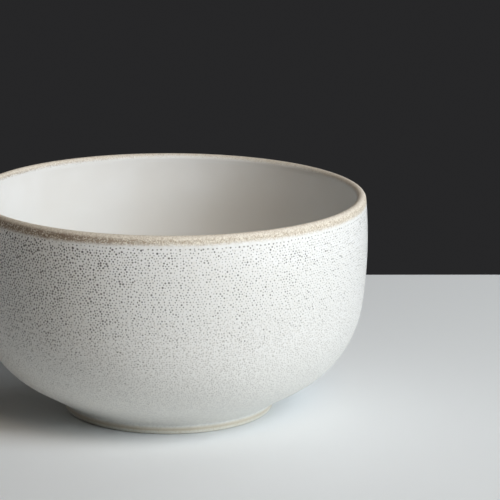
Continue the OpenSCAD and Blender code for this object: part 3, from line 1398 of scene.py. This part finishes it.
@dataclass
class GlazeCoats:
    """The four coats of glaze: outside, inside, over the lip and under the base."""

    section: Section
    speckled: Material
    liner: Material
    sandy: Material

    def build(self, shell: TurnedShell) -> None:
        """Makes the four coats.

        Args:
            shell: The tree that turns them.
        """
        coats = [
            TurnedPiece("glaze_outside", "outer_glaze", Slot.SPECKLED, self.outside(), self.speckled),
            TurnedPiece("glaze_inside", "inner_glaze", Slot.LINER, self.inside(), self.liner),
            TurnedPiece("glaze_lip", "rim_glaze", Slot.SANDY, self.lip(), self.sandy, strips=8),
            TurnedPiece("glaze_base", "base_glaze", Slot.SPECKLED, self.base(), self.speckled, strips=3),
        ]
        for coat in coats:
            coat.build(shell)

    def foot_edge(self) -> list[Vector]:
        """Rolled lower edge of the outside coat and the pooled corner above it.

        Returns:
            Points from the bottom up.
        """
        s = self.section
        bead = (s.glaze_t - s.skin) / 2
        middle = Vector((s.foot_r - s.glaze_t + bead, s.bare_h + bead))
        end = math.pi + s.under_normal
        pooled = arc(s.fillet_c, s.foot_fillet + s.skin, math.pi, end, SEEN.pool)
        return arc(middle, bead, -math.pi, 0, SEEN.edge) + pooled

    def underside(self, start: Vector) -> list[Vector]:
        """Straight slope from the pooled corner to the belly, without its first point."""
        s = self.section
        return straight(start, s.belly_c + (s.belly_r - s.skin) * unit(s.under_normal), SEEN.flat)[1:]

    def outside(self) -> Outline:
        """Outline of the outside coat.

        Returns:
            The closed outline.
        """
        s = self.section
        edge = self.foot_edge()
        line = Outline().run(edge + self.underside(edge[-1]) + s.outer_line(s.skin)[1:])
        corner = Vector((s.foot_r - s.glaze_t / math.sin(s.under_slope), s.foot_h))
        seat = Vector((s.foot_r - s.glaze_t, s.foot_h))
        back = s.outer_line(s.glaze_t, COVERED)[::-1]
        return line.run(back + [corner, seat], COVERED_SHARE).closed()

    def inside(self) -> Outline:
        """Outline of the inside coat.

        Returns:
            The outline, from its back on the axis to its face on the axis.
        """
        s = self.section
        line = Outline().run(s.inner_line(s.glaze_t, COVERED)[::-1], COVERED_SHARE)
        return line.run(s.inner_line(s.skin))

    def lip(self) -> Outline:
        """Outline of the coat over the lip.

        Returns:
            The closed outline.
        """
        s = self.section
        line = Outline().run(s.lip_line(s.skin))
        return line.run(s.lip_line(s.glaze_t, COVERED)[::-1], COVERED_SHARE).closed()

    def base(self) -> Outline:
        """Outline of the coat under the base, with a pooled corner and a rolled edge at the foot.

        Returns:
            The outline, from its face on the axis to its back on the axis.
        """
        s = self.section
        bead = s.glaze_t / 2
        pool = s.foot_glaze - s.glaze_t - bead
        face_z = s.foot_h - s.glaze_t
        corner = Vector((s.foot_inner_r - s.glaze_t - pool, face_z - pool))
        flat = straight(Vector((0, face_z)), Vector((corner.x, face_z)), SEEN.flat)[:-1]
        pooled = arc(corner, pool, math.pi / 2, 0, SEEN.pool)
        edge = arc(Vector((s.foot_inner_r - bead, s.bare_h + bead)), bead, -math.pi, 0, SEEN.edge)
        back = [Vector((s.foot_inner_r, s.foot_h)), Vector((0, s.foot_h))]
        return Outline().run(flat + pooled + edge).run(back, COVERED_SHARE)


@dataclass
class IronSpecks:
    """The specks of iron in the outside glaze."""

    section: Section
    iron: Material
    spacing: float = 0.88 * MM
    size: float = 0.275 * MM
    low_size: float = 0.215 * MM
    height: float = 0.035 * MM
    top_z: float = 77.7 * MM
    few_below_z: float = 12 * MM
    dense_from_z: float = 58 * MM
    strong_from_z: float = 70 * MM
    row_z: float = 78.4 * MM
    row_spacing: float = 1.65 * MM
    row_jitter: float = 0.25 * MM
    row_size: float = 0.34 * MM
    seed: int = 7

    def build(self, shell: TurnedShell, scatter: ScatteredSpecks) -> None:
        """Makes the specks on a turned copy of the outside surface.

        Args:
            shell: The tree that turns the surface.
            scatter: The tree that sets the specks.
        """
        s = self.section
        surface = Outline().run(s.outer_line(s.skin))
        piece = TurnedPiece("iron_specks", None, Slot.SPECKLED, surface, self.iron).turn(shell)
        values = {
            "Spacing": self.spacing,
            "Size": self.size,
            "Low Size": self.low_size,
            "Height": self.height,
            "Top": self.top_z,
            "Few Below": self.few_below_z,
            "Dense From": self.dense_from_z,
            "Strong From": self.strong_from_z,
            "Row Count": round(2 * math.pi * s.bowl_r / self.row_spacing),
            "Row Height": self.row_z,
            "Row Radius": s.bowl_r,
            "Row Jitter": self.row_jitter,
            "Row Size": self.row_size,
            "Seed": self.seed,
            "Finish": self.iron,
        }
        scatter.apply(piece, values)
        tie(piece, Slot.SPECKLED)


@dataclass(frozen=True)
class Lamp:
    """One soft rectangular lamp that faces the bowl, with its angles in degrees."""

    name: str
    turn: float
    rise: float
    width: float
    height: float
    colour: tuple[float, float, float]
    power: float
    aim_z: float = 0.04

    def build(self, distance: float) -> None:
        """Sets the lamp up, turned from the front to the right and raised.

        Args:
            distance: Distance from the bowl, in metres.
        """
        lamp = bpy.data.lights.new(self.name, "AREA")
        lamp.shape = "RECTANGLE"
        lamp.size = self.width
        lamp.size_y = self.height
        lamp.energy = self.power
        lamp.color = self.colour
        light = place(self.name, lamp)
        turn, rise = math.radians(self.turn), math.radians(self.rise)
        level = math.cos(rise)
        away = Vector((math.sin(turn) * level, -math.cos(turn) * level, math.sin(rise)))
        light.location = away * distance
        aim = Vector((0, 0, self.aim_z)) - light.location
        light.rotation_euler = aim.to_track_quat("-Z", "Y").to_euler()
        light.visible_camera = False


@dataclass
class Studio:
    """Floor, light and camera."""

    floor_colour: Colour = (0.79, 0.82, 0.84, 1)
    floor_roughness: float = 0.8
    floor_shine: float = 0.05
    floor_back: float = 0.202
    floor_reach: float = 1.6
    floor_drop: float = 0.05 * MM
    backdrop: Colour = (0.02, 0.02, 0.021, 1)
    fill: Colour = (0.015, 0.0105, 0.0065, 1)
    lamp_distance: float = 1.8
    lamps: tuple[Lamp, ...] = (
        Lamp("window", turn=54, rise=30, width=0.9, height=1.2, colour=(0.88, 0.947, 1.0), power=33.2),
        Lamp("room", turn=28, rise=46, width=0.9, height=0.9, colour=(1.0, 0.75, 0.51), power=7.2),
        Lamp("back", turn=142, rise=35, width=1.2, height=1.2, colour=(0.95, 0.98, 1.0), power=5.0),
        Lamp("low", turn=222, rise=2, width=1.2, height=0.3, colour=(0.98, 0.99, 1.0), power=3.0),
    )
    camera_place: tuple[float, float, float] = (0.0, -0.96997, 0.29427)
    camera_pitch: float = 0.2365
    camera_yaw: float = 0.0316
    camera_roll: float = 0.0071
    lens_mm: float = 190.2
    sensor_mm: float = 36.0

    def build(self) -> None:
        """Makes the floor, the light and the camera."""
        self.floor()
        self.world()
        for lamp in self.lamps:
            lamp.build(self.lamp_distance)
        self.camera()

    def floor(self) -> None:
        """Plain pale table top, which is clear when seen from below."""
        reach, back, low = self.floor_reach, self.floor_back, -self.floor_drop
        mesh = bpy.data.meshes.new("floor")
        corners = [(-reach, -reach, low), (reach, -reach, low), (reach, back, low), (-reach, back, low)]
        mesh.from_pydata(corners, [], [(0, 1, 2, 3)])
        material = bpy.data.materials.new("Floor")
        nodes = blank(material)
        inputs = {
            "Base Color": self.floor_colour,
            "Roughness": self.floor_roughness,
            "Specular IOR Level": self.floor_shine,
        }
        top = nodes.add("ShaderNodeBsdfPrincipled", inputs)
        under = nodes.add("ShaderNodeBsdfTransparent")
        side = nodes.add("ShaderNodeNewGeometry").outputs["Backfacing"]
        surface = nodes.add("ShaderNodeMixShader", {0: side, 1: top, 2: under})
        nodes.add("ShaderNodeOutputMaterial", {"Surface": surface})
        mesh.materials.append(material)
        floor = place("floor", mesh)

    def world(self) -> None:
        """Dark plain backdrop for the camera and for reflections, soft fill for everything else."""
        world = bpy.data.worlds.new("Studio")
        nodes = blank(world)
        path = nodes.add("ShaderNodeLightPath").outputs
        seen = nodes.math("MAXIMUM", path["Is Camera Ray"], path["Is Glossy Ray"])
        seen = nodes.math("MAXIMUM", seen, path["Is Transmission Ray"])
        colour = nodes.blend(seen, self.fill, self.backdrop)
        background = nodes.add("ShaderNodeBackground", {"Color": colour})
        nodes.add("ShaderNodeOutputWorld", {"Surface": background})
        bpy.context.scene.world = world

    def camera(self) -> None:
        """Camera fitted to the bowl's outline."""
        lens = bpy.data.cameras.new("camera")
        lens.lens = self.lens_mm
        lens.sensor_width = self.sensor_mm
        pitch, yaw, roll = self.camera_pitch, self.camera_yaw, self.camera_roll
        level = math.cos(pitch)
        ahead = Vector((math.sin(yaw) * level, math.cos(yaw) * level, -math.sin(pitch)))
        right = Vector((math.cos(yaw), -math.sin(yaw), 0))
        up = right.cross(ahead)
        cos, sin = math.cos(roll), math.sin(roll)
        turn = Matrix((cos * right + sin * up, cos * up - sin * right, -ahead)).transposed()
        camera = place("camera", lens)
        camera.matrix_world = Matrix.Translation(self.camera_place) @ turn.to_4x4()
        bpy.context.scene.camera = camera


def main() -> None:
    """Builds the bowl on its frame, then the studio."""
    logging.basicConfig(level=logging.INFO, format="%(name)s: %(message)s")
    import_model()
    bpy.context.scene.view_settings.view_transform = "Standard"
    section = Section()
    effects = Effects(GlazeSurface(), SandyBreak(), FaintDots())
    tones = SandyTones()
    speckled = SpeckledGlaze().material(effects, tones)
    liner = LinerGlaze().material(effects, tones)
    sandy = SandyGlaze().material(effects, tones)
    shell = TurnedShell()
    ClayForm(section, BareClay().material(effects)).build(shell)
    GlazeCoats(section, speckled, liner, sandy).build(shell)
    IronSpecks(section, IronSpeck().material()).build(shell, ScatteredSpecks())
    Studio().build()


if __name__ == "__main__":
    main()
